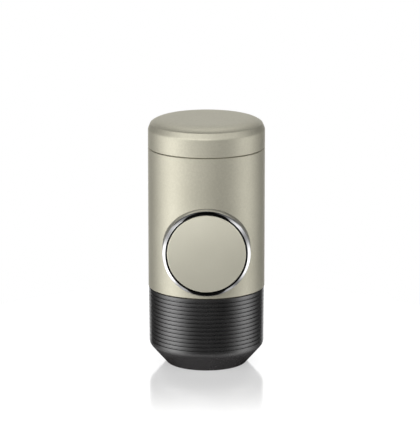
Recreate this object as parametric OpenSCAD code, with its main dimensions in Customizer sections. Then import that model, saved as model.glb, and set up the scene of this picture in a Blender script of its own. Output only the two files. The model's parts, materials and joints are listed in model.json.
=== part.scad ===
// Handheld manual espresso maker, closed up and standing on its water tank.
// A piston pump lies across the body behind the large round knob at the front.
// Water goes from the tank through the intake tube and the pump to the capsule
// chamber on top, and the coffee leaves by the nozzle under the screw cap.
// Units are millimetres. The origin is the centre of the tank's foot, +Z is up
// and the knob faces -Y.

/* [Body] */
// Outer radius of the body and the cap
body_r = 30; // [26:0.5:36]
// Thickness of the body shell
shell_wall = 1.6; // [1:0.1:3]
// Height of the seam between tank and body
tank_seam_z = 40.4; // [36:0.1:48]
// Visible gap at each seam
seam_gap = 0.3; // [0.1:0.05:0.8]
// Small chamfer on the edges of the shells
edge_break = 0.25; // [0.1:0.05:0.8]
// Clearance between pieces that are fitted together and stay put
fit_gap = 0.05; // [0.02:0.01:0.2]
// Clearance of the parts that slide or turn in one another
run_gap = 0.2; // [0.1:0.05:0.4]

/* [Cap] */
// Height of the cap above its seam
cap_h = 14.95; // [12:0.05:18]
// Height of the chamfer round the top of the cap
cap_chamfer_h = 2.8; // [1:0.1:5]
// Width of the chamfer round the top of the cap
cap_chamfer_w = 1.2; // [0.5:0.1:4]
// Length of the rounding where the chamfer meets the side
cap_side_round = 0.65; // [0.2:0.05:2]
// How far the cap's top rises from its chamfer to its middle
cap_dome_h = 2.5; // [0.5:0.1:4]
// How flat the middle of the cap's top is, and how round its rim
cap_dome_power = 10; // [2:1:12]
// Thickness of the cap's top
cap_top_wall = 1.8; // [1:0.1:3]
// Space between the nozzle and the cap's ceiling
cap_room = 2.5; // [0.3:0.1:3]
// How far the cap's inner sleeve reaches down into the body
liner_reach = 9.15; // [6:0.05:12]
// Distance of the sleeve's upper end below the cap's ceiling
liner_drop = 2.3; // [1.8:0.1:4]
// Wall of the cap's inner sleeve
liner_wall = 1.25; // [1:0.05:2]
// Distance of the silicone ring below the cap's seam
cap_seal_drop = 5.65; // [3:0.05:7]
// Width of the silicone ring on the sleeve
cap_seal_h = 1.6; // [1:0.1:3]
// Depth of the groove that holds the silicone ring
cap_seal_depth = 0.75; // [0.3:0.05:1]

/* [Tank] */
// How far the ribbed tank stands back from the body's wall
tank_inset = 0.15; // [0.1:0.05:1]
// Wall of the tank at its rim
tank_wall = 2.45; // [1.5:0.05:3]
// How much the tank's wall narrows from its rim down to the floor
tank_draft = 0.4; // [0:0.05:1]
// How far the foot stands back from the tank's rim
foot_inset = 9.35; // [6:0.05:12]
// Height of the cone between foot and wall
cone_h = 10.3; // [6:0.1:14]
// Length of the rounding between cone and wall
cone_round = 1.9; // [0.5:0.1:1.9]
// Length of the rounding round the foot
foot_round = 0.6; // [0.3:0.1:2]
// Thickness of the tank's floor
tank_floor = 2.2; // [1.5:0.1:4]
// Number of grooves round the tank
groove_count = 13; // [6:1:16]
// Distance of the lowest groove above the cone
groove_start = 2.5; // [2.5:0.1:6]
// Distance of the top groove below the tank's rim
groove_end = 2.07; // [1.5:0.01:5]
// Width of a groove at its mouth
groove_w = 0.9; // [0.4:0.05:1.4]
// Width of a groove at its bottom
groove_flat = 0.35; // [0.1:0.05:0.8]
// Depth of a groove
groove_depth = 0.45; // [0.2:0.05:0.8]

/* [Tank collar] */
// How far the collar reaches down into the tank
collar_reach = 7.4; // [6:0.1:10]
// Height of the collar's top above the tank's seam
collar_rise = 2.1; // [2:0.1:3]
// Thickness of the plate above the collar
collar_plate_h = 1.8; // [1.2:0.1:3]
// Wall of the collar
collar_wall = 2.3; // [2:0.1:4]
// Distance of the tank's sealing ring below the seam
tank_ring_drop = 4.4; // [3:0.1:6]
// Thickness of the tank's sealing ring
tank_ring_d = 1.9; // [1:0.1:3]
// Depth of the sealing ring's groove
tank_ring_groove = 1.7; // [1:0.1:2]

/* [Knob and ring] */
// Radius of the knob
knob_r = 20.2; // [17:0.1:22]
// How far the knob's face stands out from the body
knob_proud = 5; // [3:0.1:8]
// Gap between the knob and the bright ring
knob_gap = 0.4; // [0.2:0.05:1]
// Width of the bright ring
ring_w = 1.8; // [1.5:0.05:4]
// Space between the ring and the collar below it
ring_low_gap = 0.4; // [0.2:0.1:2]
// Space between the ring and the deck above it
ring_high_gap = 1.3; // [0.2:0.1:3]
// Depth of the bevel on the bright ring
bevel_h = 1.5; // [0.5:0.05:3]
// Small round on the edges of the bright ring
ring_edge = 0.25; // [0.1:0.05:0.6]
// Distance of the ring's inner end from the body's axis
ring_back_y = 5; // [3:0.5:8]
// Thickness of the metal plate on the knob
plate_h = 1.4; // [0.8:0.1:3]
// Bevel round the knob's metal plate
plate_bevel = 0.5; // [0.1:0.05:1]
// How far the knob's plate bulges out at its middle
dome_rise = 1.2; // [0.1:0.1:2]
// Thickness of the knob behind its plate
knob_disc_h = 4.1; // [3:0.1:6]
// Wall of the knob's sleeve
sleeve_wall = 2.8; // [1.5:0.1:3]
// Distance of the knob sleeve's inner end from the body's axis
sleeve_back_y = 7.2; // [6:0.1:10]
// Length of sleeve left behind the stop pin's window
window_end = 1.9; // [1:0.1:4]
// Angle that the knob turns to unlock
unlock_deg = 45; // [20:5:60]

/* [Stop pin] */
// Radius of the stop pin under the knob's sleeve
pin_r = 1.5; // [1:0.1:2]
// Distance of the stop pin behind the front of the body
pin_inset = 3; // [2:0.5:6]
// Distance of the pin's tip from the inside of the sleeve
pin_tip_gap = 0.6; // [0.2:0.1:1]
// Clearance round the pin in the sleeve's window
window_gap = 0.4; // [0.2:0.1:1]

/* [Pump] */
// Gap between the cylinder's flange and the knob's sleeve
flange_gap = 1.4; // [0.5:0.1:2]
// Width of the cylinder's flange
flange_w = 4.8; // [4:0.1:6]
// Wall of the pump cylinder
cylinder_wall = 2.2; // [1.5:0.1:3]
// Distance of the cylinder's mouth in front of the body's axis
cylinder_front_y = 8; // [6:0.1:10]
// Thickness of the plate that carries the cylinder
bulkhead_h = 3; // [2:0.1:4]
// Radius of the piston rod
rod_r = 3; // [2:0.1:4]
// Running clearance of the rod and the piston
bearing_gap = 0.05; // [0.02:0.01:0.1]
// Radius of the rod's head in the knob
rod_head_r = 4.6; // [3.5:0.1:6]
// Thickness of the rod's head
rod_head_h = 1.5; // [1:0.1:2]
// Outer radius of the clip behind the knob
clip_r = 5; // [4:0.1:6]
// Thickness of the clip behind the knob
clip_h = 1; // [0.6:0.1:2]
// Length of the piston
piston_h = 6; // [4:0.1:8]
// Space left behind the piston when it is pushed in
piston_end_gap = 0.5; // [0.3:0.1:1]
// Radial gap between piston and bore
piston_gap = 0.3; // [0.2:0.05:0.5]
// Width of the piston's seal
seal_w = 2; // [1:0.1:3]
// Depth of the seal's groove in the piston
seal_depth = 2; // [1:0.1:3]

/* [Return spring] */
// How far the spring's mean radius is outside the cylinder's wall
spring_off = 0.4; // [0:0.1:1]
// Thickness of the spring wire
wire_d = 1.3; // [0.8:0.1:2]
// Number of curls
spring_curls = 7; // [4:1:10]

/* [Valve block] */
// Half of the valve block's height above the pump's axis
block_half_h = 12; // [11:0.5:14]
// Distance of the delivery tube from the inner frame's wall
pipe_inset = 5.4; // [4:0.1:6]
// Distance of the delivery tube behind the cylinder's closed end
pipe_off = 3.5; // [3.2:0.1:5]
// Distance of the intake tube in front of the cylinder's closed end
intake_off = 4.5; // [4:0.1:6]
// Height of the valve block's foot under the cylinder
block_foot_h = 8.3; // [7:0.1:8.5]
// Gap between the block's foot and the cylinder
block_foot_gap = 0.3; // [0.1:0.1:1]
// Depth of the tube sockets in the block
socket_h = 3.6; // [3:0.1:5]
// Outer radius of the intake and delivery tubes
tube_r = 2.5; // [2:0.1:3]
// Bore radius of the tubes
tube_bore_r = 1.6; // [1:0.1:2]
// Distance of the upper port below the delivery valve's chamber
port_drop = 1.1; // [1:0.1:3]
// Radius of the ports and passages
port_r = 1.2; // [0.8:0.1:2]
// Radius of the two valve chambers
chamber_r = 3.1; // [2.5:0.1:3.5]
// Length of a valve chamber
chamber_h = 3; // [2:0.1:4]
// Radius of a valve's disc
valve_r = 2.7; // [2:0.1:3]
// Thickness of a valve's disc at its middle
valve_h = 1.1; // [0.6:0.1:2]
// Thickness of a valve's rim
valve_rim = 0.4; // [0.2:0.1:0.8]
// Radius of a valve's stem
valve_stem_r = 0.8; // [0.5:0.1:1]
// Length of a valve's stem
valve_stem_h = 1.2; // [0.8:0.1:2]
// Thickness of the seal between cylinder and block
face_seal_h = 0.8; // [0.5:0.1:1.5]

/* [Intake] */
// Radius of the strainer at the foot of the intake tube
strainer_r = 4.4; // [3:0.1:6]
// Height of the strainer
strainer_h = 7; // [5:0.5:10]
// Gap between strainer and tank floor
strainer_lift = 1.2; // [0.8:0.1:3]
// Wall of the strainer
strainer_wall = 0.9; // [0.6:0.1:1.5]
// Number of slots in the strainer
slot_count = 8; // [4:1:12]
// Width of a slot
slot_w = 0.9; // [0.5:0.1:1.5]
// Radius of the air valve's disc
vent_r = 3.2; // [2:0.1:4]
// Distance of the air valve in front of the axis
vent_off = 14; // [10:0.5:16]

/* [Inner frame] */
// Wall of the inner frame
frame_wall = 1.8; // [1.2:0.1:3]
// Radius of the screw pillars
pillar_r = 2.8; // [2:0.1:4]
// Distance of the pillars' axes from the inner frame's wall
pillar_inset = 4.6; // [3:0.1:6]
// Angle of the front pillars behind the right and the left
pillar_deg_a = 12; // [5:1:20]
// Gap between the rear pillars and the cylinder
pillar_gap = 0.59; // [0.4:0.01:2]
// Radius of a screw's shank
screw_r = 1.1; // [0.8:0.1:2]
// Radius of a screw's head
screw_head_r = 1.8; // [1.5:0.1:3]
// Height of a screw's head
screw_head_h = 1.3; // [0.8:0.1:2]
// Length of a screw's shank
screw_len = 9; // [6:0.5:14]
// Size across flats of a screw's hex socket
socket_w = 1.7; // [1:0.1:2.5]
// Depth of a screw's hex socket
socket_depth = 0.8; // [0.4:0.1:1]

/* [Head] */
// Thickness of the deck
deck_h = 4; // [3:0.1:5]
// Wall of the head collar
head_wall = 2; // [1.5:0.1:3]
// Thickness of the injector plate
injector_h = 1.2; // [0.8:0.1:2]
// Radius of a piercing needle
needle_r = 0.9; // [0.5:0.1:1.5]
// Height of a piercing needle above the plate
needle_h = 3.6; // [2:0.1:5]
// Distance of the needles from the axis
needle_off = 6; // [4:0.5:8]
// Gap between the chamber gasket and the deck screws' heads
gasket_gap = 0.8; // [0.3:0.1:2]
// Width of the chamber gasket
gasket_w = 2.75; // [2:0.05:4]
// Height of the chamber gasket
gasket_h = 2.3; // [1.5:0.1:3]

/* [Capsule holder] */
// Height of the capsule holder
holder_h = 18.9; // [16:0.1:24]
// Space round the holder's flange and above it
holder_gap = 0.5; // [0.3:0.1:1]
// Wall round the seat for the capsule's rim
holder_wall = 1; // [0.8:0.1:2]
// Thickness of the capsule holder's flange
holder_flange_h = 2.6; // [2.5:0.1:4]
// Radius of the hole in the holder's floor
holder_hole_r = 10; // [8:0.1:11]
// Thickness of the holder's floor
holder_floor = 1.4; // [1:0.1:3]
// Radius of the capsule space at its floor
chamber_low_r = 12.3; // [11:0.1:14]
// Radius of the capsule space at the capsule's rim
chamber_top_r = 15.3; // [14:0.1:17]
// Radius of the seat for the capsule's rim
rim_seat_r = 18.8; // [18:0.1:19.5]
// Depth of the seat for the capsule's rim
rim_seat_h = 2.4; // [1:0.1:4]

/* [Outlet head] */
// How far the outlet head reaches down into the head collar
outlet_reach = 3.6; // [3:0.1:6]
// Wall of the outlet head's sleeve
outlet_wall = 2.1; // [1.5:0.1:3]
// Thickness of the outlet head's rim
outlet_rim_h = 2.3; // [1.5:0.1:4]
// Number of grip notches round the rim
notch_count = 24; // [12:1:36]
// Radius of a grip notch
notch_r = 0.8; // [0.4:0.1:1.2]
// Rise of the outlet head's top from rim to nozzle
outlet_rise = 1.2; // [0.5:0.1:3]
// Thickness of the perforated outlet plate
outlet_plate_h = 1.2; // [0.8:0.1:2]
// Radius of a hole in the outlet plate
drip_hole_r = 0.8; // [0.4:0.1:1.2]
// Distance between rings of holes in the outlet plate
drip_ring = 5; // [3:0.5:5.5]
// Outer radius of the nozzle
nozzle_r = 3.6; // [2:0.1:5]
// Bore radius of the nozzle
nozzle_bore_r = 2.2; // [1:0.1:3]
// Height of the nozzle above the outlet head
nozzle_h = 1.9; // [1:0.1:3]
// Height of the sealing ring above the outlet head's lower end
head_ring_up = 1.8; // [1.5:0.1:2.5]
// Thickness of the outlet head's sealing ring
head_ring_d = 1.4; // [1:0.1:2]
// Depth of the sealing ring's groove in the outlet head
head_ring_groove = 1.25; // [0.8:0.05:1.8]

/* [Hidden] */
$fn = 96;
// Overrun of every cut
over = 1;
// Fineness of small round pieces
small_fn = 32;
// Number of flats in a rounded corner
corner_steps = 6;
// Number of flats from the rim of a domed face to its middle
dome_steps = 16;

// Radii, from the body's wall inwards
shell_in_r = body_r - shell_wall;
frame_r = shell_in_r - run_gap;
frame_in_r = frame_r - frame_wall;
tank_r = body_r - tank_inset;
tank_in_r = tank_r - tank_wall;
foot_r = tank_r - foot_inset;
collar_r = tank_in_r - seam_gap;
collar_in_r = collar_r - collar_wall;
liner_in_r = shell_in_r - run_gap - liner_wall;
head_out_r = liner_in_r - seam_gap - fit_gap;
head_in_r = head_out_r - head_wall;
outlet_r = head_in_r - seam_gap;
outlet_in_r = outlet_r - outlet_wall;
holder_r = rim_seat_r + holder_wall;
holder_flange_r = head_in_r - holder_gap;
pillar_off = frame_in_r - pillar_inset;
gasket_r = pillar_off - screw_head_r - gasket_gap;
gasket_in_r = gasket_r - gasket_w;
injector_r = gasket_in_r - fit_gap;

// Radii round the pump's axis, from the bright ring inwards
ring_in_r = knob_r + knob_gap;
ring_out_r = ring_in_r + ring_w;
sleeve_in_r = knob_r - sleeve_wall;
pin_tip_r = sleeve_in_r + pin_tip_gap;
flange_r = sleeve_in_r - flange_gap;
cylinder_r = flange_r - flange_w;
flange_screw_off = (cylinder_r + flange_r) / 2;
bore_r = cylinder_r - cylinder_wall;
piston_r = bore_r - piston_gap;
spring_r = cylinder_r + spring_off;

// Heights, from the tank up to the cap
tank_top_z = tank_seam_z - seam_gap / 2;
body_low_z = tank_seam_z + seam_gap / 2;
groove_low_z = cone_h + groove_start;
groove_pitch = (tank_top_z - groove_end - groove_low_z) / (groove_count - 1);
strainer_z = tank_floor + strainer_lift;
tube_low_z = strainer_z + strainer_h / 2;
collar_low_z = tank_seam_z - collar_reach;
tank_ring_z = tank_seam_z - tank_ring_drop;
collar_top_z = tank_seam_z + collar_rise;
collar_plate_z = collar_top_z - collar_plate_h;
pump_z = collar_top_z + ring_low_gap + ring_out_r;
deck_low_z = pump_z + ring_out_r + ring_high_gap;
deck_top_z = deck_low_z + deck_h;
injector_top_z = deck_top_z + injector_h;
holder_low_z = deck_top_z + gasket_h + seam_gap;
holder_top_z = holder_low_z + holder_h;
chamber_top_z = holder_top_z - rim_seat_h;
outlet_low_z = holder_top_z + holder_gap;
head_ring_z = outlet_low_z + head_ring_up;
head_top_z = outlet_low_z + outlet_reach;
outlet_rim_z = head_top_z + seam_gap;
outlet_top_z = outlet_rim_z + outlet_rim_h;
nozzle_top_z = outlet_top_z + outlet_rise + nozzle_h;
cap_ceiling_z = nozzle_top_z + cap_room;
top_z = cap_ceiling_z + cap_top_wall;
cap_seam_z = top_z - cap_h;
cap_crown_z = top_z - cap_dome_h;
cap_side_z = cap_crown_z - cap_chamfer_h;
body_top_z = cap_seam_z - seam_gap / 2;
cap_low_z = cap_seam_z + seam_gap / 2;
liner_low_z = cap_seam_z - liner_reach;
liner_top_z = cap_ceiling_z - liner_drop;
cap_seal_z = cap_seam_z - cap_seal_drop;

// Distances along the pump, in front of the body's axis
face_y = body_r + knob_proud;
knob_back_y = face_y - plate_h - knob_disc_h;
rod_head_y = face_y - plate_h - fit_gap;
pin_y = body_r - pin_inset;
window_in_y = sleeve_back_y + window_end;
pump_stroke = pin_y - pin_r - window_gap - window_in_y;
flange_h = cylinder_front_y - ring_back_y;

// Distances behind the body's axis
pipe_y = frame_in_r - pipe_inset;
cylinder_back_y = pipe_y - pipe_off;
intake_y = cylinder_back_y - intake_off;
piston_back_y = cylinder_back_y - piston_end_gap;
piston_front_y = piston_back_y - piston_h;
seal_front_y = piston_front_y + (piston_h - seal_w) / 2;

// Valve block
block_r = frame_in_r - fit_gap;
block_half_w = cylinder_r + run_gap;
block_foot_z = pump_z - cylinder_r - block_foot_gap;
block_low_z = block_foot_z - block_foot_h;
block_top_z = pump_z + block_half_h;
passage_z = block_low_z + socket_h + port_r;
in_chamber_z = passage_z + 2 * port_r;
out_chamber_z = block_top_z - socket_h - chamber_h;
port_off = out_chamber_z - port_drop - pump_z;

// Pillars, seen from above
pillar_deg_b = acos((cylinder_r + pillar_r + pillar_gap) / pillar_off);
pillar_degs = [pillar_deg_a, pillar_deg_b, 180 - pillar_deg_b, 180 - pillar_deg_a];

// Return spring: its two ends, and the points along its wire
spring_steps = 8;
spring_sides = 6;
spring_from = cylinder_front_y + wire_d / 2;
spring_to = knob_back_y - wire_d / 2 - seam_gap;
spring_path = helix(spring_r, spring_to - spring_from, spring_curls, spring_steps);
spring_rings = len(spring_path);
spring_least = min([for (i = [0:spring_rings - 1], k = [-2:2])
    let (j = min(i + spring_steps + k, spring_rings - 1))
        j < i + spring_steps - 2 ? spring_to : norm(spring_path[i] - spring_path[j])]) - wire_d;
echo(spring_least_gap = spring_least);

// Unit vector from one point to the next
function unit(from, to) = (to - from) / norm(to - from);

// Points of a rounded corner at q, between p and n, that starts d before the corner
function corner(p, q, n, d) =
    [for (i = [0:corner_steps]) let (t = i / corner_steps, a = q + d * unit(q, p), b = q + d * unit(q, n))
        (1 - t) * (1 - t) * a + 2 * t * (1 - t) * q + t * t * b];

// Outline points of a domed face from its rim at radius r and height z to its middle
function dome_points(r, z, rise, power) =
    [for (i = [0:dome_steps]) let (s = sqrt(1 - i / dome_steps)) [r * s, z + rise * (1 - pow(s, power))]];

// Radius of the tank's wall at height z
function wall_r(z) = tank_r - tank_draft * (1 - z / tank_top_z);

// Outline points of the grooves, from the lowest one up
function groove_points() =
    [for (i = [0:groove_count - 1], s = [[-groove_w, 0], [-groove_flat, 1], [groove_flat, 1], [groove_w, 0]])
        let (z = groove_low_z + i * groove_pitch + s[0] / 2)
            [wall_r(z) - s[1] * groove_depth, z]];

// Points of a helix along Z, from its first curl to its last
function helix(r, height, curls, steps) =
    [for (i = [0:curls * steps]) let (a = i * 360 / steps)
        [r * cos(a), r * sin(a), height * i / (curls * steps)]];

// Turns a shape drawn along Z so that its +Z points out of the front, at the pump's height
module to_front() {
    translate([0, 0, pump_z])
        rotate([90, 0, 0])
            children();
}

// A tube or a disc with a hole, standing on z
module pipe(z, h, r_out, r_in) {
    translate([0, 0, z])
        difference() {
            cylinder(h = h, r = r_out);
            translate([0, 0, -over])
                cylinder(h = h + 2 * over, r = r_in);
        }
}

// A round sealing ring at height z, with its outermost point at r
module seal_ring(z, r, d) {
    translate([0, 0, z])
        rotate_extrude()
            translate([r - d / 2, 0])
                circle(d = d, $fn = small_fn);
}

// The rectangular groove that a sealing ring sits in
module ring_groove(z, r, d, depth) {
    pipe(z - d / 2 - fit_gap, d + 2 * fit_gap, r + over, r - depth);
}

// A cap screw along Z, with its head's underside at z = 0 and its shank below
module cap_screw(shank) {
    translate([0, 0, -shank])
        cylinder(h = shank, r = screw_r, $fn = small_fn);
    difference() {
        cylinder(h = screw_head_h, r = screw_head_r, $fn = small_fn);
        translate([0, 0, screw_head_h - socket_depth])
            cylinder(h = socket_depth + over, d = socket_w, $fn = 6);
    }
}

// A rubber mushroom valve, disc down, with its disc's underside at z = 0
module mushroom(r) {
    rotate_extrude($fn = small_fn)
        polygon([[0, 0], [r, 0], [r, valve_rim], [valve_stem_r, valve_h],
                 [valve_stem_r, valve_h + valve_stem_h], [0, valve_h + valve_stem_h]]);
}

// Puts its children at the four pillars
module at_pillars(z) {
    for (a = pillar_degs)
        rotate([0, 0, a])
            translate([pillar_off, 0, z])
                children();
}

// Puts its children at the four flange screws, with +Z to the front and z = 0 at the body's axis
module at_flange_screws() {
    to_front()
        for (a = [45:90:315])
            rotate([0, 0, a])
                translate([flange_screw_off, 0, 0])
                    children();
}

// A hole for each flange screw
module flange_holes() {
    at_flange_screws()
        cylinder(h = cylinder_front_y + over, r = screw_r + fit_gap, $fn = small_fn);
}

module body_shell() {
    color([0.74, 0.72, 0.64])
        difference() {
            rotate_extrude()
                polygon([[shell_in_r, body_low_z], [body_r - edge_break, body_low_z],
                         [body_r, body_low_z + edge_break], [body_r, body_top_z - edge_break],
                         [body_r - edge_break, body_top_z], [shell_in_r, body_top_z]]);
            to_front()
                cylinder(h = body_r + over, r = ring_out_r + fit_gap);
        }
}

// Bright ring round the knob: its tube guides the knob, and its face is one round-edged bevel
module bezel_ring() {
    lip_z = face_y - bevel_h;
    p_out = [ring_out_r, lip_z];
    p_in = [ring_in_r + ring_edge, face_y];
    p_bore = [ring_in_r, face_y - ring_edge];
    color([0.9, 0.9, 0.9])
        difference() {
            to_front()
                rotate_extrude()
                    polygon(concat([[ring_in_r, ring_back_y], [ring_out_r, ring_back_y]],
                                   corner([ring_out_r, ring_back_y], p_out, p_in, ring_edge),
                                   corner(p_out, p_in, p_bore, ring_edge),
                                   [p_bore]));
            translate([0, -pin_y, pump_z - ring_out_r - over])
                cylinder(h = ring_out_r, r = pin_r + fit_gap, $fn = small_fn);
        }
}

// Plastic frame inside the body, open at the front for the ring
module inner_frame() {
    color([0.16, 0.16, 0.17])
        difference() {
            union() {
                pipe(collar_top_z, deck_low_z - collar_top_z, frame_r, frame_in_r);
                at_pillars(collar_top_z)
                    cylinder(h = deck_low_z - collar_top_z, r = pillar_r, $fn = small_fn);
                at_pillars(collar_top_z)
                    translate([0, -pillar_r / 2, 0])
                        cube([pillar_inset + frame_wall / 2, pillar_r, deck_low_z - collar_top_z]);
            }
            to_front()
                cylinder(h = body_r + over, r = ring_out_r + seam_gap);
            at_pillars(collar_top_z - over)
                cylinder(h = deck_low_z - collar_top_z + 2 * over, r = screw_r + fit_gap, $fn = small_fn);
        }
}

// Upright plate across the body that carries the pump cylinder and the ring
module pump_bulkhead() {
    color([0.62, 0.63, 0.64])
        difference() {
            intersection() {
                translate([-body_r, -ring_back_y, collar_top_z])
                    cube([2 * body_r, bulkhead_h, deck_low_z - collar_top_z]);
                translate([0, 0, collar_top_z - over])
                    cylinder(h = deck_low_z - collar_top_z + 2 * over, r = block_r);
            }
            to_front()
                translate([0, 0, -over])
                    cylinder(h = ring_back_y + 2 * over, r = cylinder_r + fit_gap);
            flange_holes();
        }
}

module pump_cylinder() {
    low = face_seal_h - cylinder_back_y;
    color([0.78, 0.79, 0.8])
        difference() {
            to_front()
                rotate_extrude()
                    polygon([[bore_r, low], [cylinder_r, low], [cylinder_r, ring_back_y],
                             [flange_r, ring_back_y], [flange_r, cylinder_front_y],
                             [bore_r, cylinder_front_y]]);
            flange_holes();
        }
}

module cylinder_screws() {
    color([0.7, 0.7, 0.7])
        at_flange_screws()
            translate([0, 0, ring_back_y - bulkhead_h])
                rotate([180, 0, 0])
                    cap_screw(bulkhead_h + flange_h - fit_gap);
}

// Flat seal between the cylinder's closed end and the valve block
module face_seal() {
    color([0.3, 0.3, 0.3])
        to_front()
            pipe(-cylinder_back_y, face_seal_h, cylinder_r, bore_r);
}

// A vertical bore in the valve block at distance y behind the axis
module block_bore(y, z, h, r) {
    translate([0, y, z])
        cylinder(h = h, r = r, $fn = small_fn);
}

// A level bore in the valve block from the axis of the delivery tube forward by len
module block_passage(z, len) {
    translate([0, pipe_y, z])
        rotate([90, 0, 0])
            cylinder(h = len, r = port_r, $fn = small_fn);
}

// Block behind the cylinder with both valve chambers, and a foot under it for the intake tube
module valve_block() {
    block_h = block_top_z - block_low_z;
    color([0.82, 0.82, 0.8])
        difference() {
            intersection() {
                union() {
                    translate([-block_half_w, cylinder_back_y, block_low_z])
                        cube([2 * block_half_w, body_r, block_h]);
                    translate([-block_half_w, intake_y - chamber_r - socket_h / 2, block_low_z])
                        cube([2 * block_half_w, body_r, block_foot_h]);
                }
                translate([0, 0, block_low_z - over])
                    cylinder(h = block_h + 2 * over, r = block_r);
            }
            block_bore(intake_y, block_low_z - over, socket_h + over, tube_r + fit_gap);
            block_bore(intake_y, block_low_z + socket_h - over, over + port_r, port_r);
            block_passage(passage_z, pipe_y - intake_y);
            block_bore(pipe_y, passage_z, pump_z - port_off - passage_z, port_r);
            block_bore(pipe_y, in_chamber_z, chamber_h, chamber_r);
            block_passage(pump_z - port_off, pipe_y - cylinder_back_y + over);
            block_passage(pump_z + port_off, pipe_y - cylinder_back_y + over);
            block_bore(pipe_y, pump_z + port_off, out_chamber_z - pump_z - port_off + over, port_r);
            block_bore(pipe_y, out_chamber_z, chamber_h, chamber_r);
            block_bore(pipe_y, block_top_z - socket_h - over, socket_h + 2 * over, tube_r + fit_gap);
        }
}

module intake_valve() {
    color([0.75, 0.35, 0.25])
        translate([0, pipe_y, in_chamber_z + fit_gap])
            mushroom(valve_r);
}

module delivery_valve() {
    color([0.75, 0.35, 0.25])
        translate([0, pipe_y, out_chamber_z + fit_gap])
            mushroom(valve_r);
}

module intake_tube() {
    color([0.85, 0.85, 0.83])
        translate([0, intake_y, 0])
            pipe(tube_low_z, block_low_z + socket_h - fit_gap - tube_low_z, tube_r, tube_bore_r);
}

// Slotted cup round the foot of the intake tube
module intake_strainer() {
    in_r = strainer_r - strainer_wall;
    color([0.2, 0.2, 0.2])
        translate([0, intake_y, strainer_z])
            difference() {
                cylinder(h = strainer_h, r = strainer_r, $fn = small_fn);
                translate([0, 0, strainer_wall])
                    cylinder(h = strainer_h - 2 * strainer_wall, r = in_r, $fn = small_fn);
                translate([0, 0, strainer_wall])
                    cylinder(h = strainer_h, r = tube_r + fit_gap, $fn = small_fn);
                for (i = [0:slot_count - 1])
                    rotate([0, 0, (i + 0.5) * 360 / slot_count])
                        translate([0, -slot_w / 2, 2 * strainer_wall])
                            cube([strainer_r + over, slot_w, strainer_h / 2 - 2 * strainer_wall]);
            }
}

module delivery_tube() {
    color([0.85, 0.85, 0.83])
        translate([0, pipe_y, 0])
            pipe(out_chamber_z + chamber_h + fit_gap, deck_low_z - out_chamber_z - chamber_h - fit_gap,
                 tube_r, tube_bore_r);
}

// Plate that closes the body's lower end, with the collar that the tank screws on to
module tank_collar() {
    color([0.1, 0.1, 0.1])
        difference() {
            union() {
                pipe(collar_low_z, collar_plate_z - collar_low_z, collar_r, collar_in_r);
                translate([0, 0, collar_plate_z])
                    cylinder(h = collar_plate_h, r = frame_r);
            }
            ring_groove(tank_ring_z, collar_r, tank_ring_d, tank_ring_groove);
            translate([0, intake_y, collar_plate_z - over])
                cylinder(h = collar_plate_h + 2 * over, r = tube_r + fit_gap, $fn = small_fn);
            translate([0, -vent_off, collar_plate_z - over])
                cylinder(h = collar_plate_h + 2 * over, r = valve_stem_r + fit_gap, $fn = small_fn);
            at_pillars(collar_plate_z - over)
                cylinder(h = collar_plate_h + 2 * over, r = screw_r + fit_gap, $fn = small_fn);
        }
}

module tank_o_ring() {
    color([0.55, 0.55, 0.55])
        seal_ring(tank_ring_z, tank_in_r - fit_gap, tank_ring_d);
}

// Lets air into the tank as the water goes
module air_valve() {
    color([0.75, 0.35, 0.25])
        translate([0, -vent_off, collar_plate_z - valve_h])
            mushroom(vent_r);
}

module collar_screws() {
    color([0.7, 0.7, 0.7])
        at_pillars(collar_plate_z)
            rotate([180, 0, 0])
                cap_screw(screw_len);
}

// Deck over the pump with the water passage, and the collar round the capsule chamber
module head_collar() {
    color([0.13, 0.13, 0.14])
        difference() {
            union() {
                translate([0, 0, deck_low_z])
                    cylinder(h = deck_h, r = frame_r);
                pipe(deck_top_z, head_top_z - deck_top_z, head_out_r, head_in_r);
            }
            translate([0, pipe_y, deck_low_z - over])
                cylinder(h = deck_h / 2 + over, r = port_r, $fn = small_fn);
            translate([0, pipe_y, deck_low_z + deck_h / 2])
                rotate([90, 0, 0])
                    cylinder(h = pipe_y, r = port_r, $fn = small_fn);
            translate([0, 0, deck_low_z + deck_h / 2])
                cylinder(h = deck_h, r = port_r, $fn = small_fn);
            at_pillars(deck_low_z - over)
                cylinder(h = deck_h + 2 * over, r = screw_r + fit_gap, $fn = small_fn);
        }
}

module deck_screws() {
    color([0.7, 0.7, 0.7])
        at_pillars(deck_top_z)
            cap_screw(screw_len);
}

// Steel plate that spreads the water under the capsule
module injector_plate() {
    color([0.75, 0.76, 0.77])
        difference() {
            pipe(deck_top_z, injector_h, injector_r, port_r);
            for (ring = [1, 2], i = [0:6 * ring - 1])
                rotate([0, 0, (i + 0.5) * 60 / ring])
                    translate([ring * injector_r / 3, 0, deck_top_z - over])
                        cylinder(h = injector_h + 2 * over, r = drip_hole_r, $fn = small_fn);
        }
}

// Three hollow needles that pierce the capsule
module piercing_needles() {
    color([0.8, 0.8, 0.82])
        for (i = [0:2])
            rotate([0, 0, i * 120])
                translate([needle_off, 0, injector_top_z])
                    difference() {
                        cylinder(h = needle_h, r1 = needle_r, r2 = needle_r / 4, $fn = small_fn);
                        translate([0, 0, needle_h / 3])
                            rotate([90, 0, 0])
                                cylinder(h = 4 * needle_r, r = needle_r / 4, center = true, $fn = small_fn);
                    }
}

module chamber_gasket() {
    color([0.7, 0.3, 0.22])
        pipe(deck_top_z, gasket_h, gasket_r, gasket_in_r);
}

// Pin under the knob's sleeve that limits how far the knob comes out and turns
module stop_pin() {
    color([0.7, 0.7, 0.7])
        translate([0, -pin_y, pump_z - ring_out_r])
            cylinder(h = ring_out_r - pin_tip_r, r = pin_r, $fn = small_fn);
}

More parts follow.
